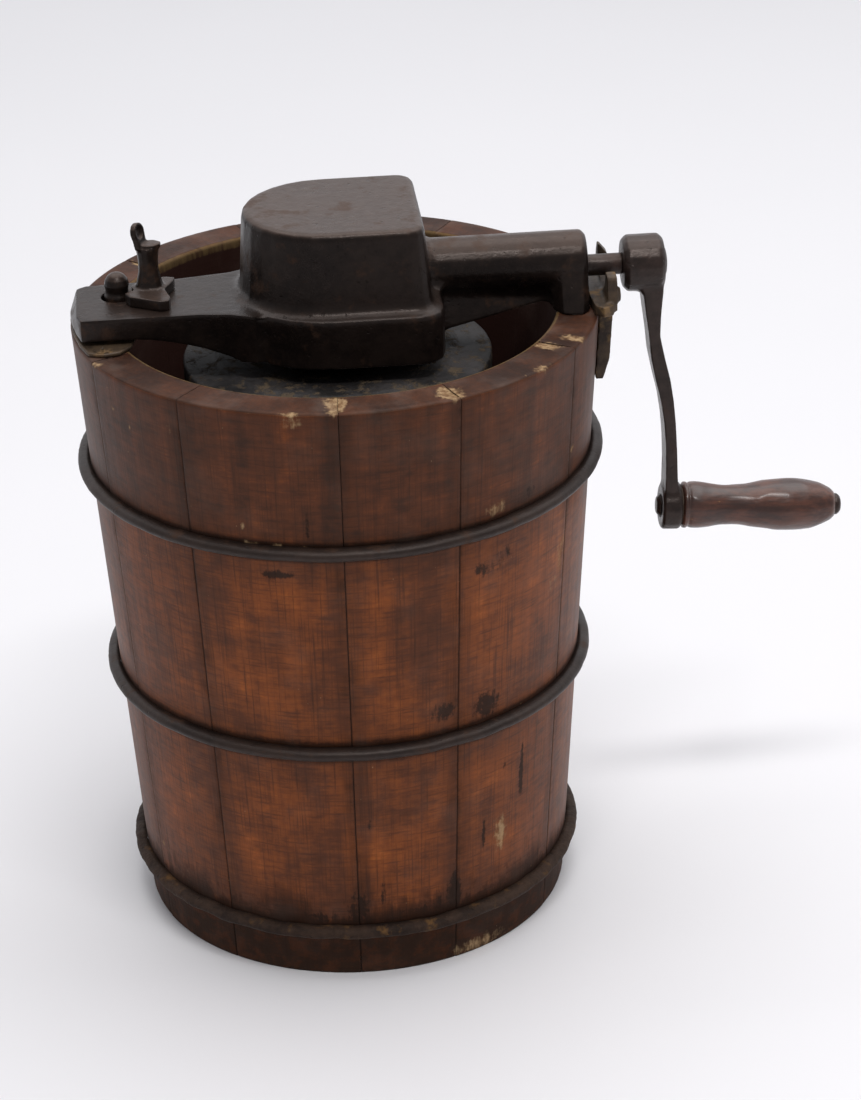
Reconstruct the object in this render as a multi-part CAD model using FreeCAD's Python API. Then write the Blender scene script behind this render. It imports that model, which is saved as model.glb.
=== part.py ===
import FreeCAD, Part
import math, os

os.makedirs("parts", exist_ok=True)
V = FreeCAD.Vector
X_AXIS = V(1, 0, 0)
Y_AXIS = V(0, 1, 0)
Z_AXIS = V(0, 0, 1)

# Named clearances
run_fit = 0.05            # radial play of every turning fit
end_play = 0.05           # axial play of turning pieces
seat_gap = 0.02           # pieces that lie snugly on one another
drive_gap = 0.2           # each side of a square drive
ball_gap = 0.6            # latch nose beside the ball stud

# Flat facets round a turned form
facet_angle = 7.5         # staves and hoops, in degrees
can_sides = 30
grip_sides = 18
round_sides = 18
small_sides = 12
screw_sides = 8

# The object's middle lies this far to the right of the tub's axis, because of the crank
middle_x = 51.5

# Tub
tub_height = 269.0
tub_top_radius = 110.0
tub_base_radius = 92.2
stave_thickness = 17.8
seam_gap = 0.25
rim_round = 1.0
croze_depth = 4.0
croze_play = 0.3
chime = 12.0
board_thickness = 14.0
seams = [-157.0, -128.5, -93.2, -67.0, -32.0, -3.0, 27.0, 58.0, 84.0, 110.0, 142.0, 172.0]
hoop_levels = {"hoop_top": 207.0, "hoop_middle": 112.5, "hoop_bottom": 22.5}
hoop_width = 5.6
hoop_stand = 5.2

# Mechanism axis, which stands a little forward of the tub's centre
axis_x = 0.0
axis_y = -6.5
rim = tub_height
shaft_height = 14.5

# Screws
screw_radius = 2.0
head_radius = 3.6
head_height = 1.9
sunk_depth = 1.6

# Bevel gears
gear_teeth = 24
pinion_teeth = 12
gear_pitch_radius = 27.0
gear_face = 10.0
throat_radius = 8.0
tooth_share = 0.40
flank_angle = 21.0
addendum = 1.7
dedendum = 2.6

# Gear frame
wall = 4.0
house_radius = 34.0
house_draft = 2.4
house_right = 35.5
house_shift = -3.0
house_top = 47.2
house_corner = 7.0
ledge_top = 13.0
ledge_out = 4.6
skirt_bottom = -8.0
ledge_fillet = 2.3
arm_bottom = 3.7
arm_front = 25.5
arm_back = 13.4
arm_end_radius = 109.5
arm_bevel = 3.2
sweep_start = -84.0
stud_x = -89.5
stud_hole_radius = 6.8
stud_neck = 4.0
stud_body = 5.5
ball_radius = 5.2
ball_height = 18.4
barrel_height = 17.9
barrel_radius = 12.1
barrel_end = 104.2
foot_start = 89.2
foot_half = 18.4
shaft_radius = 4.5
cover_thickness = 4.0
cover_margin = 3.0
hub_radius = 14.5

# Latch
latch_x = -76.0
latch_y = -2.0
latch_thickness = 4.6
latch_shank = 3.2
latch_washer_radius = 5.4
post_height = 34.4

# Crank and grip
crank_hub_start = 119.3
crank_hub_end = 136.6
crank_hub_radius = 11.9
crank_throw = 112.7
crank_eye_x = 140.0
crank_eye_radius = 10.4
grip_tilt = 3.5
grip_start = 4.9
grip_length = 66.3
grip_pin_radius = 3.2

# Can, lid and dasher
can_radius = 62.0
can_wall = 1.0
can_foot = 34.0
can_top = 249.0
lid_top = -17.0
lid_radius = 64.3
lid_skirt = 19.0
boss_side = 17.2
dasher_radius = 6.0
tang_side = 9.0


def at_axis(shape):
    moved = shape.copy()
    moved.translate(V(axis_x, axis_y, 0))
    return moved


def save(name, shape):
    if shape.isNull() or not shape.isValid():
        print("CHECK", name, "is not valid")
    moved = shape.copy()
    moved.translate(V(-middle_x, 0, 0))
    moved.exportStep("parts/" + name + ".step")
    print(name, "solids", len(shape.Solids), "volume", round(shape.Volume, 1))


def box(x0, x1, y0, y1, z0, z1):
    return Part.makeBox(x1 - x0, y1 - y0, z1 - z0, V(x0, y0, z0))


def cylinder(radius, z0, z1, x=0.0, y=0.0):
    return Part.makeCylinder(radius, z1 - z0, V(x, y, z0), Z_AXIS)


def x_cylinder(radius, x0, x1, y=0.0, z=0.0):
    return Part.makeCylinder(radius, x1 - x0, V(x0, y, z), X_AXIS)


def polygon_face(points):
    return Part.Face(Part.makePolygon(points + [points[0]]))


def spun(point, angle):
    r, z = point
    return V(r * math.cos(math.radians(angle)), r * math.sin(math.radians(angle)), z)


def closed_solid(faces):
    solid = Part.Solid(Part.Shell(faces))
    if solid.Volume < 0:
        solid.reverse()
    return solid


# A turned form with flat facets: the profile's corners lie on true circles
def turned(profile, sides, start=0.0, sweep=360.0):
    whole = sweep > 359.99
    faces = []
    for i in range(sides):
        a = start + sweep * i / sides
        b = start + sweep * ((i + 1) % sides if whole else i + 1) / sides
        for near, far in zip(profile, profile[1:] + profile[:1]):
            corners = [spun(near, a)]
            if far[0] > 0:
                corners += [spun(far, a), spun(far, b)]
            else:
                corners.append(spun(far, a))
            if near[0] > 0:
                corners.append(spun(near, b))
            if len(corners) > 2:
                faces.append(polygon_face(corners))
    if not whole:
        faces.append(polygon_face([spun(point, start) for point in profile]))
        faces.append(polygon_face([spun(point, start + sweep) for point in profile]))
    return closed_solid(faces)


def peg(radius, z0, z1, sides=round_sides):
    return turned([(0, z0), (radius, z0), (radius, z1), (0, z1)], sides)


def slab(outline, z0, z1):
    points = [V(x, y, z0) for x, y in outline]
    return polygon_face(points).extrude(V(0, 0, z1 - z0))


# Two outlines of as many corners, joined by flat sides
def frustum(near, far):
    faces = [polygon_face(near), polygon_face(far)]
    for i in range(len(near)):
        j = (i + 1) % len(near)
        faces.append(polygon_face([near[i], near[j], far[j]]))
        faces.append(polygon_face([near[i], far[j], far[i]]))
    return closed_solid(faces)


def tub_radius(z):
    return tub_base_radius + (tub_top_radius - tub_base_radius) * z / tub_height


# Seats a screw: the shank's hole is drilled through whatever it passes
def screw_hole(length):
    return peg(screw_radius + seat_gap, -length - 0.3, 0.3, screw_sides)


def round_head_screw(length):
    shank = turned([(0, -length), (screw_radius, -length + 4.0), (screw_radius, 0.5), (0, 0.5)],
                   screw_sides)
    head = turned([(0, 0), (head_radius, 0), (head_radius * 0.7, head_height), (0, head_height)],
                  screw_sides)
    slot = box(-0.45, 0.45, -head_radius, head_radius, head_height - 0.8, head_height + 1)
    return shank.fuse(head).cut(slot)


# A screw whose conical head lies flush in its plate
def sunk_head_screw(length):
    screw = turned([(0, -length), (screw_radius, -length + 4.0), (screw_radius, -sunk_depth),
                    (head_radius, 0), (0, 0)], screw_sides)
    return screw.cut(box(-0.45, 0.45, -head_radius, head_radius, -0.7, 1))


def sunk_hole(length):
    wide = head_radius + seat_gap + 0.3
    near = screw_radius + seat_gap
    return turned([(0, -length - 0.3), (near, -length - 0.3), (near, -sunk_depth), (wide, 0.3), (0, 0.3)],
                  screw_sides)


def placed(shape, spot, direction):
    moved = shape.copy()
    moved.Placement = FreeCAD.Placement(spot, FreeCAD.Rotation(Z_AXIS, direction))
    return at_axis(moved)


def fit_screws(name, sites, length, pieces, sunk=False):
    screws = []
    screw = sunk_head_screw(length) if sunk else round_head_screw(length)
    drilled = sunk_hole(length) if sunk else screw_hole(length)
    for spot, direction in sites:
        screws.append(placed(screw, spot, direction))
        hole = placed(drilled, spot, direction)
        pieces = [piece.cut(hole) if piece.common(hole).Volume > 1e-6 else piece for piece in pieces]
    save(name, Part.makeCompound(screws))
    return pieces


# Staves: twelve of uneven width, each a sector of the tapered wall with the croze cut inside
def inner_radius(z):
    return tub_radius(z) - stave_thickness


def stave(start, end):
    z0 = chime
    z1 = chime + board_thickness + seat_gap
    top = tub_height
    groove = inner_radius(z0) + croze_depth
    profile = [
        (inner_radius(0) + 2.0, 0), (tub_base_radius - rim_round, 0), (tub_radius(rim_round), rim_round),
        (tub_radius(top - rim_round), top - rim_round), (tub_top_radius - rim_round, top),
        (inner_radius(top), top),
        (inner_radius(z1), z1), (groove, z1), (groove, z0), (inner_radius(z0), z0)]
    gap = math.degrees(seam_gap / tub_top_radius)
    facets = round((end - start) / facet_angle)
    return turned(profile, facets, start + gap / 2, end - start - gap)


staves = []
for number in range(len(seams)):
    begin = seams[number]
    finish = seams[(number + 1) % len(seams)]
    staves.append(stave(begin, finish if finish > begin else finish + 360.0))

# Bottom: three boards held in the croze
bottom_radius = inner_radius(chime) + croze_depth - croze_play
disc = peg(bottom_radius, chime, chime + board_thickness, can_sides)
board_cuts = [-bottom_radius, -27.0, 30.0, bottom_radius]
boards = []
for left, right in zip(board_cuts, board_cuts[1:]):
    boards.append(disc.common(box(left + 0.1, right - 0.1, -bottom_radius, bottom_radius, 0, tub_height)))


# Hoops: wire bands that lie on the taper, round outside and flat inside
tub_sides = round(360 / facet_angle)
tub_spread = 1 / math.cos(math.pi / tub_sides)


def hoop(level):
    slope = (tub_top_radius - tub_base_radius) / tub_height
    half = hoop_width / 2
    section = [(0.0, -half), (1.0, -0.45 * half), (1.0, 0.45 * half), (0.0, half)]
    profile = []
    for out, rise in section:
        radius = (tub_radius(level + rise) + seat_gap) * tub_spread + out * hoop_stand
        profile.append((radius, level + rise - out * hoop_stand * slope))
    return turned(profile, tub_sides)


for name in hoop_levels:
    save(name, hoop(hoop_levels[name]))

# The tub's outside as one solid, used to seat the iron straps
low_corner = (tub_radius(0) + seat_gap) * tub_spread
high_corner = (tub_radius(rim) + seat_gap) * tub_spread
tub_form = turned([(0, 0), (low_corner, 0), (high_corner, rim), (high_corner, rim + seat_gap),
                   (0, rim + seat_gap)], tub_sides)

# Keeper: the plate on the left of the rim, with a raised seat for the arm and the ball stud
plate_thickness = 1.8
plate_top = rim + plate_thickness
seat_top = rim + arm_bottom - end_play
plate_outline = [(-112.0, -15.0), (-105.5, -27.0), (-102.0, -32.0), (-95.5, -34.0), (-89.5, -32.5),
                 (-85.0, -27.0), (-83.0, -18.0), (-82.6, 8.0), (-88.0, 22.0), (-95.0, 27.0),
                 (-102.0, 25.5), (-112.0, 12.0)]
keeper = slab(plate_outline, rim + seat_gap, plate_top)
keeper = keeper.fuse(slab([(-106.0, -11.0), (-83.6, -11.0), (-83.6, 10.0), (-106.0, 10.0)],
                          rim + 1.0, seat_top))
keeper = keeper.common(turned([(0, rim - 1), (tub_top_radius - 0.4, rim - 1),
                               (tub_top_radius - 0.4, rim + 9), (0, rim + 9)], tub_sides).translated(
                                   V(-axis_x, -axis_y, 0)))
keeper = at_axis(keeper)
stud_hole = peg(stud_neck + seat_gap, rim - 3, rim + 10)
stud_hole.translate(V(stud_x, 0, 0))
keeper = keeper.cut(at_axis(stud_hole)).removeSplitter()
ball_level = rim + ball_height
shoulder = seat_top + seat_gap
throat = ball_radius * math.cos(math.radians(25))
stud_profile = [(0, rim + 2 * seat_gap), (stud_neck, rim + 2 * seat_gap), (stud_neck, shoulder),
                (stud_body, shoulder), (stud_body, ball_level - 4.6), (throat, ball_level - 3.4)]
for tilt in (-25, 0, 25, 50, 70):
    stud_profile.append((ball_radius * math.cos(math.radians(tilt)),
                         ball_level + ball_radius * math.sin(math.radians(tilt))))
stud = turned(stud_profile + [(0, ball_level + ball_radius)], round_sides)
stud.translate(V(stud_x, 0, 0))
save("ball_stud", at_axis(stud))
down = V(0, 0, 1)
keeper_sites = [(V(-96.5, -29.4, plate_top), down), (V(-96.5, 20.6, plate_top), down)]
fitted = fit_screws("keeper_screws", keeper_sites, 16.0, staves + [keeper], True)
staves = fitted[:-1]
save("keeper", fitted[-1])

# Hinge yoke: the open fork on the right that the shaft lies in, with its strap outside the tub
yoke_start = 105.0
yoke_outer = 115.0
fork_in = 110.8
yoke_base = slab([(yoke_start, -12.0), (105.6, -20.0), (109.0, -23.6), (113.0, -21.5), (yoke_outer, -14.0),
                  (yoke_outer, 14.0), (113.0, 21.5), (109.0, 23.6), (105.6, 20.0), (yoke_start, 12.0)],
                 rim + seat_gap, rim + 4.6)
fork_half = 18.5
fork_slot = 11.5
fork_front = rim + 15.8
fork_back = rim + 19.0
fork = box(fork_in, yoke_outer, -fork_half, fork_half, rim + 1.0, fork_back)
fork_round = peg(fork_slot, 100, 120)
fork_round.rotate(V(0, 0, 0), Y_AXIS, 90)
fork_round.translate(V(0, 0, rim + shaft_height + 2.0))
fork = fork.cut(fork_round)
fork = fork.cut(box(100, 120, -fork_slot, fork_slot, rim + shaft_height + 2.0, fork_back + 5))
fork = fork.cut(box(100, 120, -fork_half - 3, 0, fork_front, fork_back + 5))
slant = [V(fork_in + 0.8, 0, fork_back + 0.1), V(yoke_outer + 1, 0, fork_back + 0.1),
         V(yoke_outer + 1, 0, fork_back - 6.0)]
fork = fork.cut(polygon_face(slant).extrude(V(0, 30, 0)))
for side in (-1, 1):
    corner = [V(100, side * (fork_half - 3.6), fork_back + 1), V(100, side * (fork_half + 1), fork_back + 1),
              V(100, side * (fork_half + 1), fork_front - 3.5)]
    fork = fork.cut(polygon_face(corner).extrude(V(30, 0, 0)))
nub = peg(3.0, yoke_outer - 1.0, yoke_outer + 1.6, small_sides)
nub.rotate(V(0, 0, 0), Y_AXIS, 90)
nub.translate(V(0, -fork_half + 3.6, rim + 6.9))
strap_low = -34.0
strap_half = 7.0
strap_taper = (tub_top_radius - tub_base_radius) / tub_height
strap_side = [V(yoke_start + 2, 0, 1.0), V(yoke_outer, 0, 1.0), V(yoke_outer, 0, -1.0),
              V(yoke_outer + (strap_low + 9) * strap_taper, 0, strap_low + 9),
              V(yoke_outer - 4.4, 0, strap_low), V(100, 0, strap_low), V(100, 0, -0.5),
              V(yoke_start + 2, 0, -0.5)]
strap = polygon_face(strap_side).extrude(V(0, 2 * strap_half, 0))
strap.translate(V(0, -strap_half, rim))
yoke = at_axis(yoke_base.fuse([fork, nub, strap])).cut(tub_form).removeSplitter()
outward = V(1, 0, -strap_taper)
yoke_sites = []
for drop in (-12.0, -21.0):
    yoke_sites.append((V(yoke_outer + drop * strap_taper, 0, rim + drop), outward))
fitted = fit_screws("yoke_screws", yoke_sites, 16.0, staves + [yoke], True)
staves = fitted[:-1]
save("hinge_yoke", fitted[-1])

# Step bearing on the bottom, which the can turns on
board_top = chime + board_thickness
step = peg(17.0, board_top + seat_gap, board_top + 3.0, small_sides)
step_pin_top = can_foot + 3.0
step = at_axis(step.fuse(cylinder(5.0, board_top + 1.0, step_pin_top)))
step_sites = [(V(12.0 * math.cos(a), 12.0 * math.sin(a), board_top + 3.0 + seat_gap), down)
              for a in (math.radians(30), math.radians(150), math.radians(270))]
fitted = fit_screws("step_screws", step_sites, 12.0, boards + [step])
boards = fitted[:-1]
save("step_bearing", fitted[-1].removeSplitter())

for number, piece in enumerate(staves):
    save("stave_%02d" % (number + 1), piece)
for number, piece in enumerate(boards):
    save("bottom_board_%d" % (number + 1), piece)


# D-shaped outline of the gear house: round to the left, square with rounded corners to the right
def d_points(radius, right, corner, z):
    points = []
    for i in range(15):
        a = math.radians(90 + 180 * i / 14)
        points.append(V(house_shift + radius * math.cos(a), radius * math.sin(a), z))
    for turn in (-1, 1):
        for i in range(4):
            a = math.radians((turn - 1) * 45 + 30 * i)
            points.append(V(right - corner + corner * math.cos(a),
                            turn * (radius - corner) + corner * math.sin(a), z))
    return points


def d_stack(rings):
    outlines = [d_points(radius, right, corner, z) for radius, right, corner, z in rings]
    faces = [polygon_face(outlines[0]), polygon_face(outlines[-1])]
    for low, high in zip(outlines, outlines[1:]):
        for i in range(len(low)):
            j = (i + 1) % len(low)
            faces.append(polygon_face([low[i], low[j], high[j], high[i]]))
    return closed_solid(faces)


def d_prism(radius, right, corner, z0, z1):
    return d_stack([(radius, right, corner, z0), (radius, right, corner, z1)])


# Gear frame: one casting of gear house, skirt, left arm, barrel, web and foot
hollow_radius = house_radius - wall
hollow_right = house_right - wall
low_radius = house_radius + house_draft
low_right = house_right + house_draft


def eased(inset, z):
    share = (z - ledge_top) / (house_top - ledge_top)
    draft = house_draft * (1 - share)
    return (house_radius + draft - inset, house_right + draft - inset, house_corner - inset, z)


house = d_stack([eased(-ledge_fillet, ledge_top - 0.3), eased(-0.25 * ledge_fillet, ledge_top + 0.9),
                 eased(0, ledge_top + 2.8), eased(0, house_top - 2.2), eased(0.7, house_top - 0.7),
                 eased(2.2, house_top)])
skirt_radius = low_radius + ledge_out
skirt_right = low_right + ledge_out
skirt_corner = house_corner + 3.0
skirt = d_stack([(skirt_radius, skirt_right, skirt_corner, skirt_bottom),
                 (skirt_radius, skirt_right, skirt_corner, ledge_top - 1.6),
                 (skirt_radius - 0.5, skirt_right - 0.5, skirt_corner - 0.5, ledge_top - 0.5),
                 (skirt_radius - 1.6, skirt_right - 1.6, skirt_corner - 1.6, ledge_top)])

arm_root = -34.0
arm_end = -112.0
arm_side = [V(arm_root, 0, ledge_top), V(arm_end, 0, ledge_top), V(arm_end, 0, arm_bottom),
            V(sweep_start, 0, arm_bottom)]
sweep_drop = arm_bottom - skirt_bottom - 0.4
for i in range(1, 7):
    arm_side.append(V(sweep_start + 44.0 * i / 6, 0, arm_bottom - sweep_drop * (i / 6) ** 1.6))
arm_side.append(V(arm_root, 0, skirt_bottom + 0.4))
arm = polygon_face(arm_side).extrude(V(0, 80, 0))
arm.translate(V(0, -40, 0))
arm_plan = [(arm_end, -arm_front), (-56.0, -arm_front), (-45.0, -arm_front - 1.5),
            (arm_root, -arm_front - 6.0), (arm_root, arm_back + 11.0), (-43.0, arm_back + 6.4),
            (-57.0, arm_back + 3.8), (-70.0, arm_back + 1.6), (-102.5, arm_back),
            (-106.0, arm_back - 2.6), (arm_end, arm_back - 9.0)]
arm = arm.common(slab(arm_plan, -20, 30))
arm = arm.common(cylinder(arm_end_radius, -20, 30, -axis_x, -axis_y))
bevel = [V(-arm_end_radius + arm_bevel, 0, ledge_top + 0.1), V(arm_end, 0, ledge_top + 0.1),
         V(arm_end, 0, arm_bottom + 1.0), V(-arm_end_radius, 0, arm_bottom + 1.0)]
arm = arm.cut(polygon_face(bevel).extrude(V(0, 80, 0)).translated(V(0, -40, 0)))

barrel = turned([(0, 30.0), (barrel_radius, 30.0), (barrel_radius, barrel_end - 2.0),
                 (barrel_radius - 2.0, barrel_end), (0, barrel_end)], 24)
barrel.rotate(V(0, 0, 0), Y_AXIS, 90)
barrel.translate(V(0, 0, barrel_height))


# Foot under the barrel's end: a block with cut corners that flares to the rim
def foot_outline(half, z):
    return [V(x, y * half, z) for x, y in
            ((foot_start, -0.62), (foot_start + 3.6, -0.94), (foot_start + 7.0, -1.0),
             (barrel_end - 3.2, -1.0), (barrel_end, -0.8), (barrel_end, 0.8), (barrel_end - 3.2, 1.0),
             (foot_start + 7.0, 1.0), (foot_start + 3.6, 0.94), (foot_start, 0.62))]


foot = frustum(foot_outline(foot_half, seat_gap), foot_outline(barrel_radius - 0.6, barrel_height))
web_root = [V(38.0, -14.0, -6.5), V(38.0, 14.0, -6.5), V(38.0, 9.0, 12.0), V(38.0, -9.0, 12.0)]
web_tip = [V(90.0, -5.5, 3.0), V(90.0, 5.5, 3.0), V(90.0, 5.5, 12.0), V(90.0, -5.5, 12.0)]
web = frustum(web_root, web_tip)
gear_frame = house.fuse([skirt, arm, barrel, foot, web])
gear_frame = gear_frame.cut(d_prism(hollow_radius, hollow_right, house_corner - 1.0,
                                    skirt_bottom - 1, house_top - wall))
cover_radius = skirt_radius - cover_margin
cover_right = skirt_right - cover_margin
gear_frame = gear_frame.cut(d_prism(cover_radius + seat_gap, cover_right + seat_gap, house_corner + 1.0,
                                    skirt_bottom - 1, skirt_bottom + cover_thickness + seat_gap))
gear_back = shaft_height - skirt_bottom - cover_thickness - end_play
journal_radius = 11.0
journal_top = house_top - wall
roof_boss = peg(16.0, shaft_height + gear_back + end_play, journal_top + 0.5, small_sides)
gear_frame = gear_frame.fuse(roof_boss)
gear_frame = gear_frame.cut(cylinder(journal_radius + run_fit, 0, journal_top))
gear_frame = gear_frame.cut(x_cylinder(shaft_radius + run_fit, 20, barrel_end + 5, 0, shaft_height))
stud_passage = peg(stud_hole_radius, -5, 30)
stud_passage.translate(V(stud_x, 0, 0))
gear_frame = gear_frame.cut(stud_passage)
gear_frame = gear_frame.cut(cylinder(latch_shank + run_fit, -5, 30, latch_x, latch_y))
spot_face = peg(latch_washer_radius + 0.5, -9, arm_bottom, small_sides)
spot_face.translate(V(latch_x, latch_y, 0))
gear_frame = gear_frame.cut(spot_face)
gear_frame.translate(V(0, 0, rim))
gear_frame = at_axis(gear_frame)

# Cover plate under the gear house, with the bearing of the lower gear
cover_low = rim + skirt_bottom
cover = d_prism(cover_radius, cover_right, house_corner + 1.0, cover_low, cover_low + cover_thickness)
cover = at_axis(cover.cut(cylinder(hub_radius + run_fit, cover_low - 1, rim)))
cover_sites = [(V(house_shift - 34.6, 0, cover_low - seat_gap), V(0, 0, -1)),
               (V(36.0, -34.0, cover_low - seat_gap), V(0, 0, -1)),
               (V(36.0, 34.0, cover_low - seat_gap), V(0, 0, -1))]
gear_frame, cover = fit_screws("cover_screws", cover_sites, 11.0, [gear_frame, cover])
save("gear_frame", gear_frame)
save("gear_cover", cover)


# Straight bevel gears. A tooth's flanks all run to the point where the two shafts' axes meet.
# The gear is drawn with that point at the origin and its own axis pointing down.
pinion_pitch_radius = gear_pitch_radius * pinion_teeth / gear_teeth
cone_length = math.hypot(gear_pitch_radius, pinion_pitch_radius)
inner_share = 1 - gear_face / cone_length


def tooth_section(teeth, radius, height, extra):
    pitch = 2 * math.pi * radius / teeth
    slope = math.tan(math.radians(flank_angle))
    across = height / cone_length
    along = radius / cone_length
    corners = []
    for offset in (-dedendum - extra, addendum):
        half = tooth_share * pitch / 2 - offset * slope
        r = radius + offset * across
        z = -height + offset * along
        corners.append((r, half, z))
    (r0, w0, z0), (r1, w1, z1) = corners
    return [V(r0, -w0, z0), V(r0, w0, z0), V(r1, w1, z1), V(r1, -w1, z1)]


def toothed(teeth, radius, height, blank, phase):
    outer = tooth_section(teeth, radius, height, 0.7)
    inner = [point * inner_share for point in outer]
    tooth = frustum(outer, inner)
    ring = []
    for i in range(teeth):
        copy = tooth.copy()
        copy.rotate(V(0, 0, 0), Z_AXIS, phase + 360.0 * i / teeth)
        ring.append(copy)
    return blank.fuse(ring)


def root_point(radius, height, share):
    across = height / cone_length
    along = radius / cone_length
    return ((radius - dedendum * across) * share, -(height + dedendum * along) * share)


# The blank has one facet for each gap, and its corners lie under the teeth
def gear_blank(teeth, radius, height, bore, back, first=0.0):
    r_out, z_out = root_point(radius, height, 1.02)
    r_in, z_in = root_point(radius, height, inner_share * 0.94)
    profile = [(bore, z_in), (r_in, z_in), (r_out, z_out), (r_out, -back), (bore, -back)]
    return turned(profile, teeth, first)


big_height = pinion_pitch_radius
lower_gear = gear_blank(gear_teeth, gear_pitch_radius, big_height, throat_radius, gear_back)
lower_gear = toothed(gear_teeth, gear_pitch_radius, big_height, lower_gear, 0)
hub_low = lid_top + 2.0 - shaft_height
socket = boss_side / 2 + drive_gap
lower_gear = lower_gear.fuse(cylinder(hub_radius, hub_low, -gear_back + 1.0))
lower_gear = lower_gear.cut(box(-socket, socket, -socket, socket, hub_low - 1, -shaft_height - 3.0))
throat_bore = [(0, hub_low - 1), (throat_radius, hub_low - 1), (throat_radius, 0), (0, 0)]
lower_gear = lower_gear.cut(turned(throat_bore, gear_teeth))
lower_gear.translate(V(0, 0, rim + shaft_height))
save("lower_gear", at_axis(lower_gear).removeSplitter())

upper_gear = gear_blank(gear_teeth, gear_pitch_radius, big_height, 0, gear_back)
upper_gear = toothed(gear_teeth, gear_pitch_radius, big_height, upper_gear, 0)
journal_low = -(house_top - wall - end_play - shaft_height)
upper_gear = upper_gear.fuse(cylinder(journal_radius, journal_low, -gear_back + 1.0))
half_tang = tang_side / 2 + drive_gap
tang_top = 19.0
upper_gear = upper_gear.cut(box(-half_tang, half_tang, -half_tang, half_tang, -tang_top - 0.6, 0))
upper_gear.rotate(V(0, 0, 0), X_AXIS, 180)
upper_gear.translate(V(0, 0, rim + shaft_height))
save("upper_gear", at_axis(upper_gear).removeSplitter())

# Pinion on the crank shaft: a gap between two teeth stands at the bottom and at the top
pinion_back = hollow_right - end_play
square_side = 6.2
first_tooth = 180.0 / pinion_teeth
pinion = gear_blank(pinion_teeth, pinion_pitch_radius, gear_pitch_radius, 0, gear_pitch_radius + 1.5,
                    first_tooth)
pinion = pinion.fuse(peg(9.0, -pinion_back, -gear_pitch_radius - 1.0))
pinion = toothed(pinion_teeth, pinion_pitch_radius, gear_pitch_radius, pinion, first_tooth)
half_square = square_side / 2 + seat_gap
pinion = pinion.cut(box(-half_square, half_square, -half_square, half_square, -40, 0))
pinion.rotate(V(0, 0, 0), Y_AXIS, -90)
pinion.translate(V(0, 0, rim + shaft_height))
save("pinion", at_axis(pinion).removeSplitter())

# Crank shaft with a square at each end and a riveted head outside the crank
level = rim + shaft_height
half_square = square_side / 2
crank_shaft = box(15.5, crank_hub_end + 0.5, -half_square, half_square,
                  level - half_square, level + half_square)
crank_shaft = crank_shaft.fuse(x_cylinder(shaft_radius, pinion_back + seat_gap, crank_hub_start - seat_gap,
                                          0, level))
rivet = turned([(0, 0), (7.0, 0), (5.6, 0.9), (3.0, 1.4), (0, 1.4)], small_sides)
rivet.rotate(V(0, 0, 0), Y_AXIS, 90)
rivet.translate(V(crank_hub_end + seat_gap, 0, level))
crank_shaft = crank_shaft.fuse(rivet)
save("crank_shaft", at_axis(crank_shaft).removeSplitter())


# Grip, its pin and the eye lie on an axis a little out of square with the crank
def at_eye(shape):
    moved = shape.copy()
    moved.rotate(V(0, 0, 0), Y_AXIS, 90 + grip_tilt)
    moved.translate(V(crank_eye_x, 0, level - crank_throw))
    return at_axis(moved)


# Crank: hub, curved flat arm and eye
def smooth(points, pieces):
    curve = Part.BSplineCurve()
    curve.interpolate([V(x, 0, level + z) for x, z in points])
    return curve.toShape().discretize(pieces + 1)


inside = [(127.0, 0.0), (127.8, -16.0), (129.8, -31.0), (131.0, -43.0), (134.4, -58.0), (136.9, -76.0),
          (137.3, -97.0), (136.7, -crank_throw)]
outside = [(135.8, 0.0), (135.0, -20.0), (134.7, -32.0), (137.2, -43.0), (140.3, -59.0), (141.8, -76.0),
           (142.6, -97.0), (143.6, -crank_throw)]
crank_arm = polygon_face(smooth(inside, 11) + smooth(outside, 11)[::-1]).extrude(V(0, 30, 0))
crank_arm.translate(V(0, -15, 0))
taper = polygon_face([V(110, -8.6, level + 1), V(110, 8.6, level + 1), V(110, 6.4, level - crank_throw),
                      V(110, -6.4, level - crank_throw)]).extrude(V(50, 0, 0))
crank_arm = crank_arm.common(taper)
hub_edge = 2.0
hub = turned([(0, crank_hub_start), (crank_hub_radius - hub_edge, crank_hub_start),
              (crank_hub_radius, crank_hub_start + hub_edge), (crank_hub_radius, crank_hub_end - hub_edge),
              (crank_hub_radius - hub_edge, crank_hub_end), (0, crank_hub_end)], grip_sides)
hub.rotate(V(0, 0, 0), Y_AXIS, 90)
hub.translate(V(0, 0, level))
eye = turned([(0, -4.2), (crank_eye_radius - 1.2, -4.2), (crank_eye_radius, -3.2), (crank_eye_radius, 3.4),
              (crank_eye_radius - 1.0, 4.4), (0, 4.4)], round_sides)
half_square = square_side / 2 + seat_gap
crank = at_axis(hub.fuse(crank_arm)).fuse(at_eye(eye))
shaft_square = box(110, 150, -half_square, half_square, level - half_square, level + half_square)
crank = crank.cut(at_axis(shaft_square))
crank = crank.cut(at_eye(peg(grip_pin_radius + seat_gap, -20, 20, small_sides)))
save("crank", crank.removeSplitter())

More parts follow.
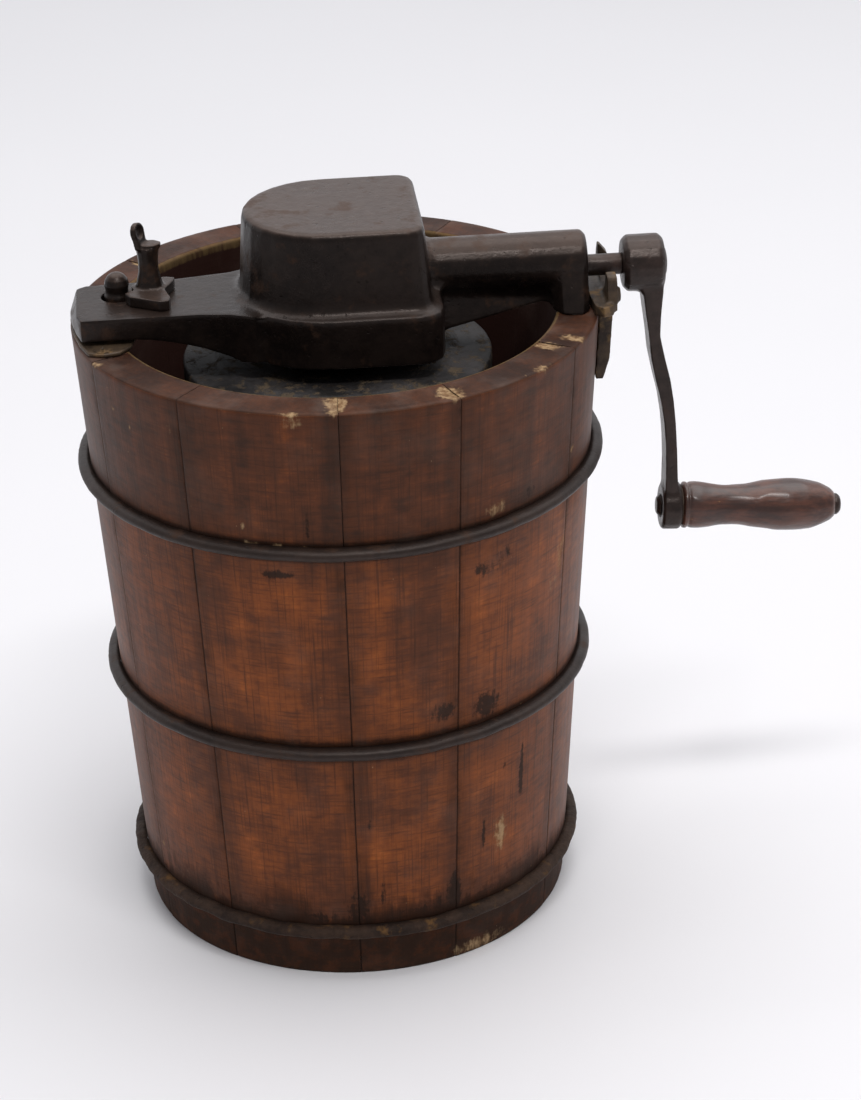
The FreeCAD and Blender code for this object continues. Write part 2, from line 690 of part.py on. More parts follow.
grip_end = grip_start + grip_length
rivet_face = -4.2 - seat_gap
grip_rivet = turned([(0, -6.2), (3.4, -6.0), (5.4, rivet_face), (grip_pin_radius, rivet_face),
                     (grip_pin_radius, 4.4), (0, 4.4)], small_sides)
tip_face = grip_end + end_play
button = turned([(0, tip_face), (4.7, tip_face), (4.7, tip_face + 1.6), (3.4, tip_face + 2.9),
                 (0, tip_face + 3.3)], small_sides)
grip_pin = cylinder(grip_pin_radius, 4.4, tip_face + 0.5).fuse([grip_rivet, button])
save("grip_pin", at_eye(grip_pin))
washer_face = 4.4 + seat_gap
washer_hole = grip_pin_radius + 0.15
washer = turned([(washer_hole, washer_face), (8.2, washer_face), (8.2, grip_start - end_play),
                 (washer_hole, grip_start - end_play)], round_sides)
save("grip_washer", at_eye(washer))

# Turned wooden grip
turning = [(0.0, 9.2), (1.4, 10.0), (7.0, 10.3), (13.0, 9.3), (19.5, 8.5), (27.0, 9.1), (38.0, 10.9),
           (47.0, 11.4), (55.0, 10.7), (61.0, 9.0), (65.0, 7.2), (66.3, 5.8)]
grip = turned([(0, grip_start)] + [(r, grip_start + x) for x, r in turning] + [(0, grip_end)], grip_sides)
grip = grip.cut(cylinder(grip_pin_radius + run_fit, grip_start - 1, grip_end + 1))
save("grip", at_eye(grip))

# Latch: a fishtailed plate with a thumb post, pivoted on the arm beside the ball stud
latch_low = rim + ledge_top + end_play
latch_top = latch_low + latch_thickness
nose = math.hypot(stud_x - latch_x, latch_y) - stud_body - ball_gap
latch_plan = [(-nose * math.cos(math.radians(30)), -nose * math.sin(math.radians(30))), (-10.4, -6.6),
              (-8.2, -11.2), (3.6, -18.0), (7.4, -17.4), (8.2, -13.5), (6.0, -4.0), (9.6, 4.2), (10.4, 8.0),
              (6.6, 9.4), (-2.0, 6.6)]
for turn in (28, 8, -12):
    latch_plan.append((-nose * math.cos(math.radians(turn)), nose * math.sin(math.radians(turn))))
latch = slab(latch_plan, latch_low, latch_top)
post_top = rim + post_height
post = turned([(0, latch_top - 1), (6.0, latch_top - 1), (5.3, latch_top + 2.0), (4.2, latch_top + 7.0),
               (4.2, post_top - 5.0), (4.9, post_top + 0.5), (0, post_top + 0.5)], small_sides)
wing = slab([(-4.2, 1.6), (-3.6, -1.6), (-1.2, -3.8), (2.4, -4.0), (5.4, -1.4), (5.6, 1.0), (3.0, 3.4),
             (-1.6, 3.8)], post_top, post_top + 2.0)
ear_radius = 4.2
ear = peg(ear_radius, 0, 2.4, small_sides)
dish = peg(ear_radius - 1.6, 1.4, 4.0, small_sides)
for disc_shape in (ear, dish):
    disc_shape.rotate(V(0, 0, 0), Y_AXIS, 90)
ear = ear.fuse(box(0, 2.4, -ear_radius + 0.6, ear_radius - 0.6, -6.6, 0)).cut(dish)
ear.rotate(V(0, 0, 0), Y_AXIS, -12)
ear.rotate(V(0, 0, 0), Z_AXIS, -28)
ear.translate(V(-4.6, 0.4, post_top + 6.4))
latch = latch.fuse([post, wing, ear, cylinder(latch_shank, rim + 0.9, latch_low + 1.0)])
latch.translate(V(latch_x, latch_y, 0))
save("latch", at_axis(latch).removeSplitter())
washer_hole = latch_shank + 0.15
washer_top = rim + arm_bottom - end_play
latch_washer = turned([(washer_hole, washer_top - 2.8), (latch_washer_radius, washer_top - 2.8),
                       (latch_washer_radius, washer_top), (washer_hole, washer_top)], round_sides)
latch_washer.translate(V(latch_x, latch_y, 0))
save("latch_washer", at_axis(latch_washer))

# Can: thin tinned wall with a rolled lip, a bottom and the pivot cup under it
can_floor = can_foot + 4.0
bead_low = can_top - 3.0
inside_radius = can_radius - can_wall
can = turned([(0, can_floor), (inside_radius - 1, can_floor), (inside_radius, can_foot),
              (can_radius, can_foot), (can_radius, bead_low), (can_radius + 0.8, bead_low + 0.8),
              (can_radius + 0.8, can_top),
              (inside_radius, can_top), (inside_radius, can_floor + can_wall), (0, can_floor + can_wall)],
             can_sides)
save("can", at_axis(can))
cup_low = board_top + 3.0 + 1.2
cup = peg(9.0, cup_low, can_floor - seat_gap, small_sides)
cup = cup.cut(cylinder(5.0 + run_fit, cup_low - 1, step_pin_top + end_play))
save("can_pivot", at_axis(cup))
floor_pin_top = can_floor + can_wall + 8.0
floor_pin = peg(12.0, can_floor + can_wall + seat_gap, can_floor + can_wall + 2.0, small_sides)
floor_pin = floor_pin.fuse(cylinder(4.0, can_floor + can_wall + 1.0, floor_pin_top))
save("can_floor_pin", at_axis(floor_pin).removeSplitter())

# Lid with its skirt, a raised middle and the square boss that the lower gear turns
lid_high = rim + lid_top
lid_low = lid_high - 1.2
lid = turned([(0, lid_low), (lid_radius - 1.2, lid_low), (lid_radius - 1.2, lid_high - lid_skirt),
              (lid_radius, lid_high - lid_skirt), (lid_radius, lid_high - 0.8), (lid_radius - 0.8, lid_high),
              (51.0, lid_high), (49.5, lid_high + 1.2), (0, lid_high + 1.2)], can_sides)
half_boss = boss_side / 2
hole = half_boss + seat_gap
lid = lid.cut(box(-hole, hole, -hole, hole, lid_high - 5, lid_high + 5))
save("can_lid", at_axis(lid))
boss_top = rim - 3.6
boss = peg(20.0, lid_high - 3.6, lid_low - seat_gap, small_sides)
boss = boss.fuse(box(-half_boss, half_boss, -half_boss, half_boss, lid_high - 2.0, boss_top))
boss = boss.cut(peg(dasher_radius + 0.4, lid_high - 5, boss_top + 1))
save("lid_boss", at_axis(boss).removeSplitter())

# Dasher: shaft with a square tang, an open frame with slanted paddles, and two wooden scrapers
frame_low = floor_pin_top - 5.0
frame_high = 240.0
dasher_shaft = peg(dasher_radius, frame_high - 4.0, level + 9.0)
half_tang = tang_side / 2
dasher_shaft = dasher_shaft.fuse(box(-half_tang, half_tang, -half_tang, half_tang,
                                     level + 8.0, level + tang_top))
dasher_shaft = dasher_shaft.common(peg(dasher_radius, 0, level + tang_top + 1))
save("dasher_shaft", at_axis(dasher_shaft).removeSplitter())
side = 44.0
bar = 7.0
thick = 5.0
low_bar = box(-side, side, -thick / 2, thick / 2, frame_low, frame_low + bar)
top_bar = box(-side, side, -thick / 2, thick / 2, frame_high - 8.0 - bar, frame_high - 8.0)
frame_parts = [box(s * side - bar / 2, s * side + bar / 2, -thick / 2, thick / 2,
                   frame_low, frame_high - 8.0) for s in (-1, 1)]
for rise in (0.3, 0.68):
    mid = frame_low + rise * (frame_high - frame_low)
    frame_parts.append(box(-side, side, -thick / 2, thick / 2, mid, mid + bar))
for spot in (-22.0, 22.0):
    paddle = box(-10.0, 10.0, -1.5, 1.5, frame_low + 2.0, frame_high - 10.0)
    paddle.rotate(V(0, 0, 0), Z_AXIS, 40.0)
    paddle.translate(V(spot, 0, 0))
    frame_parts.append(paddle)
frame_parts.append(peg(9.0, frame_low, frame_low + bar, small_sides))
frame_parts.append(peg(9.0, frame_high - 8.0 - bar, frame_high - 4.0 - seat_gap, small_sides))
dasher_frame = low_bar.fuse([top_bar] + frame_parts)
dasher_frame = dasher_frame.cut(cylinder(4.0 + run_fit, frame_low - 1, floor_pin_top + end_play))
save("dasher_frame", at_axis(dasher_frame).removeSplitter())
for name, turn in (("scraper_1", 0), ("scraper_2", 180)):
    root = side + bar / 2 + seat_gap
    blade = [(root, -4.0), (59.5, 0.6), (60.0, 3.2), (58.0, 4.4), (root, 4.0)]
    scraper = slab(blade, frame_low + 4.0, frame_high - 14.0)
    scraper.rotate(V(0, 0, 0), Z_AXIS, turn)
    save(name, at_axis(scraper))
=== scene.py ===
import bpy
import math
import numpy as np
from mathutils import Matrix, Vector, noise


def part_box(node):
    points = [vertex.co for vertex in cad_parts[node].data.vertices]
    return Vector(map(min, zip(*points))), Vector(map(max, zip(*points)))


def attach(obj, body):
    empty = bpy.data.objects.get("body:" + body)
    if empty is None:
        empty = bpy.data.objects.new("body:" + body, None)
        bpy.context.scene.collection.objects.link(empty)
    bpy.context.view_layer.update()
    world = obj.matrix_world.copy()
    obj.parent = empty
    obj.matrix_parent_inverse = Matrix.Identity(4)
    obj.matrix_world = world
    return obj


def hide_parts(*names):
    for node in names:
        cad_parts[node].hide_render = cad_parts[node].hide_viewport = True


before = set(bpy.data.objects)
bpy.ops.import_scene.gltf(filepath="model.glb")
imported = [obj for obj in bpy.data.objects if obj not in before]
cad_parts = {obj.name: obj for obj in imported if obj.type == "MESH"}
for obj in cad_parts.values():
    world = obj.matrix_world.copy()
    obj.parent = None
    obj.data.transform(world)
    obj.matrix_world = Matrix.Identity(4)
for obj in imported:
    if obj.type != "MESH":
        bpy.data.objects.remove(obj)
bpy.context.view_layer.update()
print("frame loaded:", len(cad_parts), "nodes")


# Colours are written as the eye reads them, 0 to 255
def shade(red, green, blue):
    def one(level):
        level = level / 255
        return level / 12.92 if level <= 0.04045 else ((level + 0.055) / 1.055) ** 2.4
    return (one(red), one(green), one(blue), 1.0)


# A socket that takes part in sums: each operator adds its Math node
class Value:
    def __init__(self, shader, socket):
        self.shader = shader
        self.socket = socket

    def math(self, operation, other=None, turned=False):
        pair = [other, self] if turned else [self, other]
        return self.shader.node("ShaderNodeMath", {"operation": operation}, dict(enumerate(pair)))

    def __add__(self, other):
        return self.math("ADD", other)

    def __radd__(self, other):
        return self.math("ADD", other)

    def __sub__(self, other):
        return self.math("SUBTRACT", other)

    def __rsub__(self, other):
        return self.math("SUBTRACT", other, True)

    def __mul__(self, other):
        return self.math("MULTIPLY", other)

    def __rmul__(self, other):
        return self.math("MULTIPLY", other)

    def __truediv__(self, other):
        return self.math("DIVIDE", other)

    def __rtruediv__(self, other):
        return self.math("DIVIDE", other, True)

    def most(self, other):
        return self.math("MAXIMUM", other)

    def __abs__(self):
        return self.math("ABSOLUTE")

    def rises(self, low, high):
        settings = {"interpolation_type": "SMOOTHSTEP"}
        return self.shader.node("ShaderNodeMapRange", settings, {0: self, 1: low, 2: high, 3: 0.0, 4: 1.0})


class Shader:
    def __init__(self, name, holder=None, surface="Principled BSDF", **fixed):
        self.material = holder or bpy.data.materials.new(name)
        self.material.use_nodes = True
        self.tree = self.material.node_tree
        self.surface = self.tree.nodes[surface]
        for socketName, level in fixed.items():
            self.surface.inputs[socketName.replace("_", " ")].default_value = level

    # Adds a node: its type, its settings, then the values or links of its sockets
    def node(self, kind, settings=None, sockets=None, output=0):
        added = self.tree.nodes.new(kind)
        for setting, choice in (settings or {}).items():
            if setting == "stops":
                self.setStops(added.color_ramp, choice)
            else:
                setattr(added, setting, choice)
        for place, content in (sockets or {}).items():
            if content is not None:
                self.feed(added.inputs[place], content)
        return Value(self, added.outputs[output])

    def setStops(self, ramp, stops):
        while len(ramp.elements) < len(stops):
            ramp.elements.new(0.5)
        for element, (position, colour) in zip(ramp.elements, stops):
            element.position = position
            element.color = colour

    def feed(self, socket, content):
        if isinstance(content, Value):
            self.tree.links.new(content.socket, socket)
        else:
            socket.default_value = content

    def place(self, name="Object"):
        if name == "Object":
            return self.node("ShaderNodeTexCoord", output="Object")
        return self.node("ShaderNodeAttribute", {"attribute_name": name}, output="Vector")

    def carried(self, name):
        return self.node("ShaderNodeAttribute", {"attribute_name": name}, output="Fac")

    def stretched(self, place, stretch):
        return self.node("ShaderNodeVectorMath", {"operation": "MULTIPLY"}, {0: place, 1: stretch})

    def moved(self, place, amount):
        return self.node("ShaderNodeVectorMath", {"operation": "ADD"}, {0: place, 1: amount})

    def parts(self, place):
        split = self.node("ShaderNodeSeparateXYZ", None, {0: place})
        return [Value(self, socket) for socket in split.socket.node.outputs]

    def noise(self, place, scale, detail=3.0, rough=0.55):
        return self.node("ShaderNodeTexNoise", {"noise_dimensions": "3D"},
                         {"Vector": place, "Scale": scale, "Detail": detail, "Roughness": rough})

    def cells(self, place, scale):
        return self.node("ShaderNodeTexVoronoi", {"feature": "F1"}, {"Vector": place, "Scale": scale})

    def mix(self, share, first, second):
        return self.node("ShaderNodeMix", {"data_type": "RGBA"}, {0: share, 6: first, 7: second}, 2)

    def bump(self, height, depth, strength):
        sockets = {"Height": height, "Distance": depth, "Strength": strength}
        normal = self.node("ShaderNodeBump", None, sockets)
        self.feed(self.surface.inputs["Normal"], normal)

    def finish(self, **varying):
        for socketName, content in varying.items():
            self.feed(self.surface.inputs[socketName.replace("_", " ")], content)
        return self.material


# Mesh helpers
def meshPiece(name, points, faces, material, attributes=None):
    mesh = bpy.data.meshes.new(name)
    mesh.from_pydata([tuple(p) for p in points], [], faces)
    mesh.update()
    for label, values in (attributes or {}).items():
        values = np.asarray(values, dtype=np.float32)
        kind = "FLOAT" if values.ndim == 1 else "FLOAT_VECTOR"
        layer = mesh.attributes.new(label, kind, "POINT")
        layer.data.foreach_set("value" if kind == "FLOAT" else "vector", values.ravel())
    mesh.polygons.foreach_set("use_smooth", [True] * len(mesh.polygons))
    piece = bpy.data.objects.new(name, mesh)
    bpy.context.scene.collection.objects.link(piece)
    mesh.materials.append(material)
    return piece


def settle(piece, body, node):
    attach(piece, body)
    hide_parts(node)


# A smooth casting or forging: the frame's own solid with its inner corners
# filled to the fillet's radius and its edges worn round
def castPiece(node, body, material, grid, softness, fillet):
    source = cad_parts[node]
    piece = bpy.data.objects.new(node + "_cast", source.data.copy())
    bpy.context.scene.collection.objects.link(piece)

    def addStep(kind, **settings):
        step = piece.modifiers.new(kind, kind)
        for setting, choice in settings.items():
            setattr(step, setting, choice)

    addStep("REMESH", mode="VOXEL", voxel_size=grid)
    if fillet:
        addStep("DISPLACE", strength=fillet, mid_level=0.0)
        addStep("REMESH", mode="VOXEL", voxel_size=grid)
        addStep("DISPLACE", strength=-fillet, mid_level=0.0)
    addStep("SMOOTH", factor=0.5, iterations=softness)
    bpy.context.view_layer.update()
    worn = bpy.data.meshes.new_from_object(piece.evaluated_get(bpy.context.evaluated_depsgraph_get()))
    piece.modifiers.clear()
    piece.data = worn
    worn.name = piece.name
    worn.materials.clear()
    worn.materials.append(material)
    worn.polygons.foreach_set("use_smooth", [True] * len(worn.polygons))
    settle(piece, body, node)


# Joins the sections of a closed ring, each with count points
def ringFaces(sides, count):
    faces = []
    for side in range(sides):
        far = (side + 1) % sides
        for step in range(count):
            after = (step + 1) % count
            faces.append((side * count + step, far * count + step, far * count + after, side * count + after))
    return faces


# Wear on turned forms: its lumps to the metre, and the radius from which it is whole
wear = {"lumps": 70.0, "fullFrom": 0.006}


# A turned form round an axis through origin, along the direction given by turn.
# Wear takes a little off its radius, never more than the uneven value.
def lathe(name, profile, sides, turn, origin, material, attributes=None, uneven=0.0):
    points = []
    for side in range(sides):
        angle = 2 * math.pi * side / sides
        for radius, height in profile:
            spot = Vector((radius * math.cos(angle), radius * math.sin(angle), height))
            radius -= uneven * abs(noise.noise(spot * wear["lumps"])) * min(1.0, radius / wear["fullFrom"])
            spot = Vector((radius * math.cos(angle), radius * math.sin(angle), height))
            points.append(turn @ spot + origin)
    return meshPiece(name, points, ringFaces(sides, len(profile)), material, attributes)


def smoothProfile(corners, pieces):
    points = []
    padded = [corners[0]] + corners + [corners[-1]]
    for a, b, c, d in zip(padded, padded[1:], padded[2:], padded[3:]):
        for step in range(pieces):
            t = step / pieces
            points.append(tuple(0.5 * (2 * q + (r - p) * t + (2 * p - 5 * q + 4 * r - s) * t * t
                                       + (3 * q - p - 3 * r + s) * t ** 3)
                                for p, q, r, s in zip(a, b, c, d)))
    return points + [corners[-1]]


# Tub
hoopLow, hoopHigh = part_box("hoop_top")
tub = {
    "axisX": (hoopLow.x + hoopHigh.x) / 2,
    "height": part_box("stave_01")[1].z,
    "topRadius": 0.1100,
    "baseRadius": 0.0922,
    "thick": 0.0178,
    "seams": [-157.0, -128.5, -93.2, -67.0, -32.0, -3.0, 27.0, 58.0, 84.0, 110.0, 142.0, 172.0],
    "grooveDepth": 0.00022,
    "grooveWidth": 0.0004,
    "boardLow": 0.012,
    "boardHigh": 0.02602,
    "crozeDepth": 0.004,
    "rimRound": 0.0012,
    "rimSteps": 9,
    "footRound": 0.0010,
    "rowStep": 0.0026,
    "columnStep": 0.9,
    "edgeColumns": (0.03, 0.18, 0.42, 0.8),
    "sunk": 0.0001,
    "ripple": 0.00012,
    "rimRub": 0.00025,
    "chipFade": 0.004,
    "chipBare": 0.0006,
}
axisY = (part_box("can")[0].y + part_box("can")[1].y) / 2
ironAxis = Vector((tub["axisX"], axisY, 0))
tubSlope = (tub["topRadius"] - tub["baseRadius"]) / tub["height"]
hoopLevels = {name: (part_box(name)[0].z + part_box(name)[1].z) / 2
              for name in ("hoop_top", "hoop_middle", "hoop_bottom")}

# The grain of each stave starts this far along from the one before it
staveShift = 0.37

# Wear on the tub: azimuth in degrees, height, half width and half height in metres, strength
tubMarks = {
    "bare": [(-131.3, 0.255, 0.0012, 0.0014, 1.0), (-143.7, 0.249, 0.0009, 0.0010, 1.0),
             (-115.4, 0.2174, 0.0009, 0.0009, 0.9), (-149.1, 0.2544, 0.0016, 0.0020, 0.5),
             (-102.5, 0.2650, 0.0036, 0.0022, 0.8), (-113.9, 0.2095, 0.0034, 0.0007, 0.9),
             (-107.6, 0.2096, 0.0020, 0.0007, 0.9), (-101.5, 0.2096, 0.0022, 0.0006, 0.7),
             (-30.8, 0.2226, 0.0013, 0.0016, 1.0), (-57.9, 0.2152, 0.0042, 0.0028, 0.7),
             (-53.6, 0.0558, 0.0034, 0.0075, 0.85), (-37.3, 0.0835, 0.0013, 0.0016, 0.9),
             (-154.9, 0.0397, 0.0014, 0.0022, 0.7), (-33.6, 0.1768, 0.0035, 0.0080, 0.6),
             (-37.0, 0.1650, 0.0050, 0.0060, 0.4), (-59.4, 0.0030, 0.0120, 0.0030, 0.8),
             (12.0, 0.2200, 0.0030, 0.0016, 0.7), (75.0, 0.0900, 0.0014, 0.0060, 0.6),
             (128.0, 0.2350, 0.0024, 0.0018, 0.8), (-178.0, 0.1700, 0.0015, 0.0040, 0.6)],
    "dark": [(-108.1, 0.1965, 0.0062, 0.0019, 1.0), (-48.1, 0.2166, 0.0050, 0.0022, 0.5),
             (-60.2, 0.1885, 0.0070, 0.0034, 0.6), (-54.9, 0.1927, 0.0050, 0.0030, 0.5),
             (-70.8, 0.1262, 0.0050, 0.0040, 0.85), (-59.3, 0.1238, 0.0060, 0.0060, 0.95),
             (-46.7, 0.0813, 0.0011, 0.0110, 1.0), (-53.1, 0.0901, 0.0007, 0.0050, 0.9),
             (-59.3, 0.0597, 0.0008, 0.0090, 0.9), (-89.9, 0.0753, 0.0008, 0.0030, 0.8),
             (-86.7, 0.0390, 0.0008, 0.0090, 1.0), (-101.0, 0.2160, 0.0006, 0.0090, 0.7),
             (35.0, 0.0600, 0.0009, 0.0120, 0.8), (97.0, 0.1800, 0.0050, 0.0040, 0.6),
             (150.0, 0.0900, 0.0008, 0.0100, 0.8), (-93.0, 0.0310, 0.0050, 0.0100, 0.8),
             (-67.6, 0.0330, 0.0040, 0.0120, 0.9), (-78.0, 0.0280, 0.0160, 0.0040, 0.8),
             (-104.0, 0.0280, 0.0120, 0.0040, 0.7), (-72.0, 0.0300, 0.0012, 0.0090, 0.8)],
    "glow": [(-109.3, 0.1845, 0.0142, 0.0081, 1.0), (-117.5, 0.1690, 0.0089, 0.0030, 0.8),
             (-119.4, 0.1451, 0.0104, 0.0085, 0.9), (-110.6, 0.1339, 0.0085, 0.0120, 0.9),
             (-104.2, 0.1624, 0.0070, 0.0068, 0.6), (-99.1, 0.1829, 0.0035, 0.0081, 0.8),
             (-85.7, 0.1869, 0.0105, 0.0093, 0.8), (-88.7, 0.1579, 0.0094, 0.0109, 0.6),
             (-83.1, 0.1333, 0.0084, 0.0083, 0.6), (-59.4, 0.1774, 0.0141, 0.0164, 1.0),
             (-38.1, 0.1798, 0.0171, 0.0169, 1.0), (-57.3, 0.1531, 0.0167, 0.0167, 0.8),
             (-134.0, 0.1546, 0.0040, 0.0070, 0.9), (-134.8, 0.1335, 0.0060, 0.0060, 0.8),
             (-110.7, 0.2310, 0.0124, 0.0123, 0.5), (-118.6, 0.2426, 0.0088, 0.0154, 0.35),
             (-82.8, 0.2257, 0.0124, 0.0092, 0.4), (-103.3, 0.2576, 0.0159, 0.0050, 0.4),
             (-59.0, 0.2248, 0.0130, 0.0050, 0.5), (-113.9, 0.0881, 0.0169, 0.0183, 0.7),
             (-119.3, 0.0590, 0.0111, 0.0126, 0.8), (-96.5, 0.0994, 0.0062, 0.0134, 0.5),
             (-84.6, 0.0632, 0.0129, 0.0107, 1.0), (-80.2, 0.0420, 0.0106, 0.0108, 0.7),
             (-59.5, 0.0895, 0.0135, 0.0091, 0.8), (-51.9, 0.0510, 0.0118, 0.0094, 0.8),
             (-85.0, 0.0949, 0.0076, 0.0089, 0.5), (-141.9, 0.0675, 0.0136, 0.0199, 0.6),
             (20.0, 0.1700, 0.0160, 0.0120, 0.8), (66.0, 0.1500, 0.0120, 0.0150, 0.8),
             (118.0, 0.1750, 0.0140, 0.0100, 0.8), (160.0, 0.0700, 0.0140, 0.0150, 0.8)],
    "smudge": [(-95.9, 0.1855, 0.0046, 0.0094, 0.6), (-74.0, 0.1618, 0.0115, 0.0219, 0.7),
               (-126.8, 0.1868, 0.0057, 0.0111, 0.6), (-95.2, 0.1585, 0.0040, 0.0206, 0.6),
               (-56.3, 0.1916, 0.0080, 0.0054, 0.8), (-131.8, 0.1490, 0.0050, 0.0120, 0.7),
               (-39.6, 0.1318, 0.0120, 0.0043, 0.7), (-76.0, 0.1987, 0.0099, 0.0070, 0.7),
               (-116.8, 0.1224, 0.0152, 0.0040, 0.6), (-95.0, 0.2592, 0.0066, 0.0100, 0.7),
               (-94.5, 0.2457, 0.0050, 0.0060, 0.6), (-120.4, 0.2541, 0.0133, 0.0100, 0.7),
               (-130.5, 0.2409, 0.0069, 0.0238, 0.6), (-105.5, 0.2544, 0.0080, 0.0070, 0.5),
               (-45.5, 0.2161, 0.0180, 0.0050, 0.8), (-60.8, 0.2243, 0.0068, 0.0055, 0.7),
               (-88.6, 0.2667, 0.0106, 0.0024, 0.9), (-156.2, 0.2233, 0.0186, 0.0219, 0.5),
               (-113.8, 0.2634, 0.0112, 0.0050, 0.5), (-99.3, 0.0449, 0.0076, 0.0093, 0.7),
               (-91.6, 0.0916, 0.0050, 0.0090, 0.7), (-101.9, 0.0616, 0.0035, 0.0180, 0.5),
               (-127.8, 0.0914, 0.0047, 0.0250, 0.5), (-139.9, 0.0289, 0.0132, 0.0090, 0.8),
               (-116.5, 0.0310, 0.0200, 0.0060, 0.8), (-95.0, 0.0355, 0.0088, 0.0100, 0.9),
               (-69.6, 0.0298, 0.0103, 0.0090, 1.0), (-47.7, 0.0280, 0.0188, 0.0080, 0.8),
               (45.0, 0.1400, 0.0120, 0.0180, 0.7), (100.0, 0.2300, 0.0140, 0.0160, 0.7),
               (138.0, 0.0500, 0.0120, 0.0180, 0.7), (5.0, 0.0800, 0.0100, 0.0200, 0.7)],
}
# Chips out of the rim: azimuth, radius, half length along the rim, half width, depth
rimChips = [(-93.8, 0.1000, 0.0040, 0.0080, 0.0008), (-67.8, 0.1030, 0.0044, 0.0060, 0.0008),
            (-33.4, 0.0985, 0.0030, 0.0060, 0.0007), (-27.1, 0.1055, 0.0028, 0.0060, 0.0006),
            (-44.7, 0.1085, 0.0050, 0.0020, 0.0005), (-155.8, 0.1085, 0.0046, 0.0020, 0.0005),
            (-103.0, 0.1088, 0.0040, 0.0016, 0.0005), (27.0, 0.1010, 0.0030, 0.0050, 0.0006),
            (84.0, 0.1030, 0.0030, 0.0060, 0.0007), (142.0, 0.1000, 0.0024, 0.0060, 0.0006)]


def tubRadius(height):
    return tub["baseRadius"] + tubSlope * height


def markStrength(marks, azimuth, height, radius):
    strength = 0.0
    for markAzimuth, markHeight, halfWidth, halfHeight, level in marks:
        across = math.radians(azimuth - markAzimuth) * radius / halfWidth
        along = (height - markHeight) / halfHeight
        away = across * across + along * along
        if away < 9:
            strength = max(strength, level * math.exp(-away * 0.7))
    return strength


def chipDepth(azimuth, radius):
    depth = 0.0
    for chipAzimuth, chipRadius, halfLength, halfWidth, deep in rimChips:
        along = math.radians(azimuth - chipAzimuth) * radius / halfLength
        across = (radius - chipRadius) / halfWidth
        away = along * along + across * across
        if away < 6:
            depth = max(depth, deep * math.exp(-away * 0.9))
    return depth


def makeStave(number, start, end, material):
    top = tub["height"]
    levels = [0.0, 0.0006, 0.0016] + list(np.arange(0.004, top - 0.003, tub["rowStep"]))
    levels += [tub["boardLow"], tub["boardHigh"], top - 0.0026, top - tub["rimRound"], top - 0.0005, top]
    levels = sorted(set(round(level, 5) for level in levels))
    columns = [start + away for away in tub["edgeColumns"]]
    columns += list(np.arange(start + 1.6, end - 1.2, tub["columnStep"]))
    columns += [end - away for away in reversed(tub["edgeColumns"])]
    dustAndTopSheen = tub["sunk"] * (number * 7 % 3)
    rimSteps = tub["rimSteps"]
    points, places, edges, worn = [], [], [], []

    def addPoint(azimuth, radius, height, spot):
        angle = math.radians(azimuth)
        points.append((tub["axisX"] + radius * math.cos(angle), radius * math.sin(angle), height))
        across = math.radians(azimuth - start) * 0.1
        places.append((across + staveShift * number, radius, height))
        edges.append(min(azimuth - start, end - azimuth) * math.pi / 180 * radius)
        worn.append(spot)

    for azimuth in columns:
        fromEdge = math.radians(min(azimuth - start, end - azimuth)) * tub["topRadius"]
        groove = tub["grooveDepth"] * math.exp(-(fromEdge / tub["grooveWidth"]) ** 2)
        ripple = tub["ripple"] * noise.noise(Vector((azimuth * 0.3, number * 3.1, 0)))
        for level in levels:
            outer = tubRadius(level) - groove - dustAndTopSheen - abs(ripple)
            rise = max(0.0, level - (top - tub["rimRound"]))
            outer -= tub["rimRound"] - math.sqrt(max(0.0, tub["rimRound"] ** 2 - rise ** 2))
            foot = max(0.0, tub["footRound"] - level)
            outer -= 0.6 * foot
            spot = [markStrength(tubMarks[kind], azimuth, level, outer) for kind in ("bare", "dark", "glow")]
            spot[2] = 0.5 + 0.4 * spot[2] - 0.25 * markStrength(tubMarks["smudge"], azimuth, level, outer)
            lowered = 0.0
            if level > top - tub["chipFade"]:
                share = level - (top - tub["chipFade"])
                lowered = chipDepth(azimuth, outer) * share / tub["chipFade"]
                spot[0] = max(spot[0], min(1.0, lowered / tub["chipBare"]))
            addPoint(azimuth, outer, level - lowered, spot)
        inner = tubRadius(top) - tub["thick"]
        for step in range(1, rimSteps):
            radius = outer + (inner - outer) * step / rimSteps
            lowered = chipDepth(azimuth, radius)
            rubbed = tub["rimRub"] * abs(noise.noise(Vector((azimuth * 0.8, radius * 300, 5.0))))
            bared = min(1.0, lowered / tub["chipBare"])
            addPoint(azimuth, radius, top - lowered - rubbed - 0.5 * groove, (bared, 0.0, 0.5))
        for level in reversed(levels):
            radius = tubRadius(level) - tub["thick"]
            if tub["boardLow"] <= level <= tub["boardHigh"]:
                radius += tub["crozeDepth"]
            rise = max(0.0, level - (top - tub["rimRound"]))
            radius += tub["rimRound"] - math.sqrt(max(0.0, tub["rimRound"] ** 2 - rise ** 2))
            addPoint(azimuth, radius, level, (0.0, 0.0, 0.5))
    ring = 2 * len(levels) + rimSteps - 1
    faces = []
    for column in range(len(columns) - 1):
        for step in range(ring):
            after = (step + 1) % ring
            faces.append((column * ring + step, (column + 1) * ring + step,
                          (column + 1) * ring + after, column * ring + after))
    last = (len(columns) - 1) * ring
    lower = len(levels)
    for step in range(lower - 1):
        low, high = step, step + 1
        lowIn, highIn = ring - 1 - step, ring - 2 - step
        faces.append((low, high, highIn, lowIn))
        faces.append((last + low, last + lowIn, last + highIn, last + high))
    cap = list(range(lower - 1, lower + rimSteps))
    faces.append(tuple(cap))
    faces.append(tuple(last + index for index in reversed(cap)))
    name = "stave_%02d" % (number + 1)
    piece = meshPiece(name + "_wood", points, faces, material,
                      {"grainPlace": places, "edgeAway": edges, "wornSpot": worn})
    settle(piece, "tub", name)


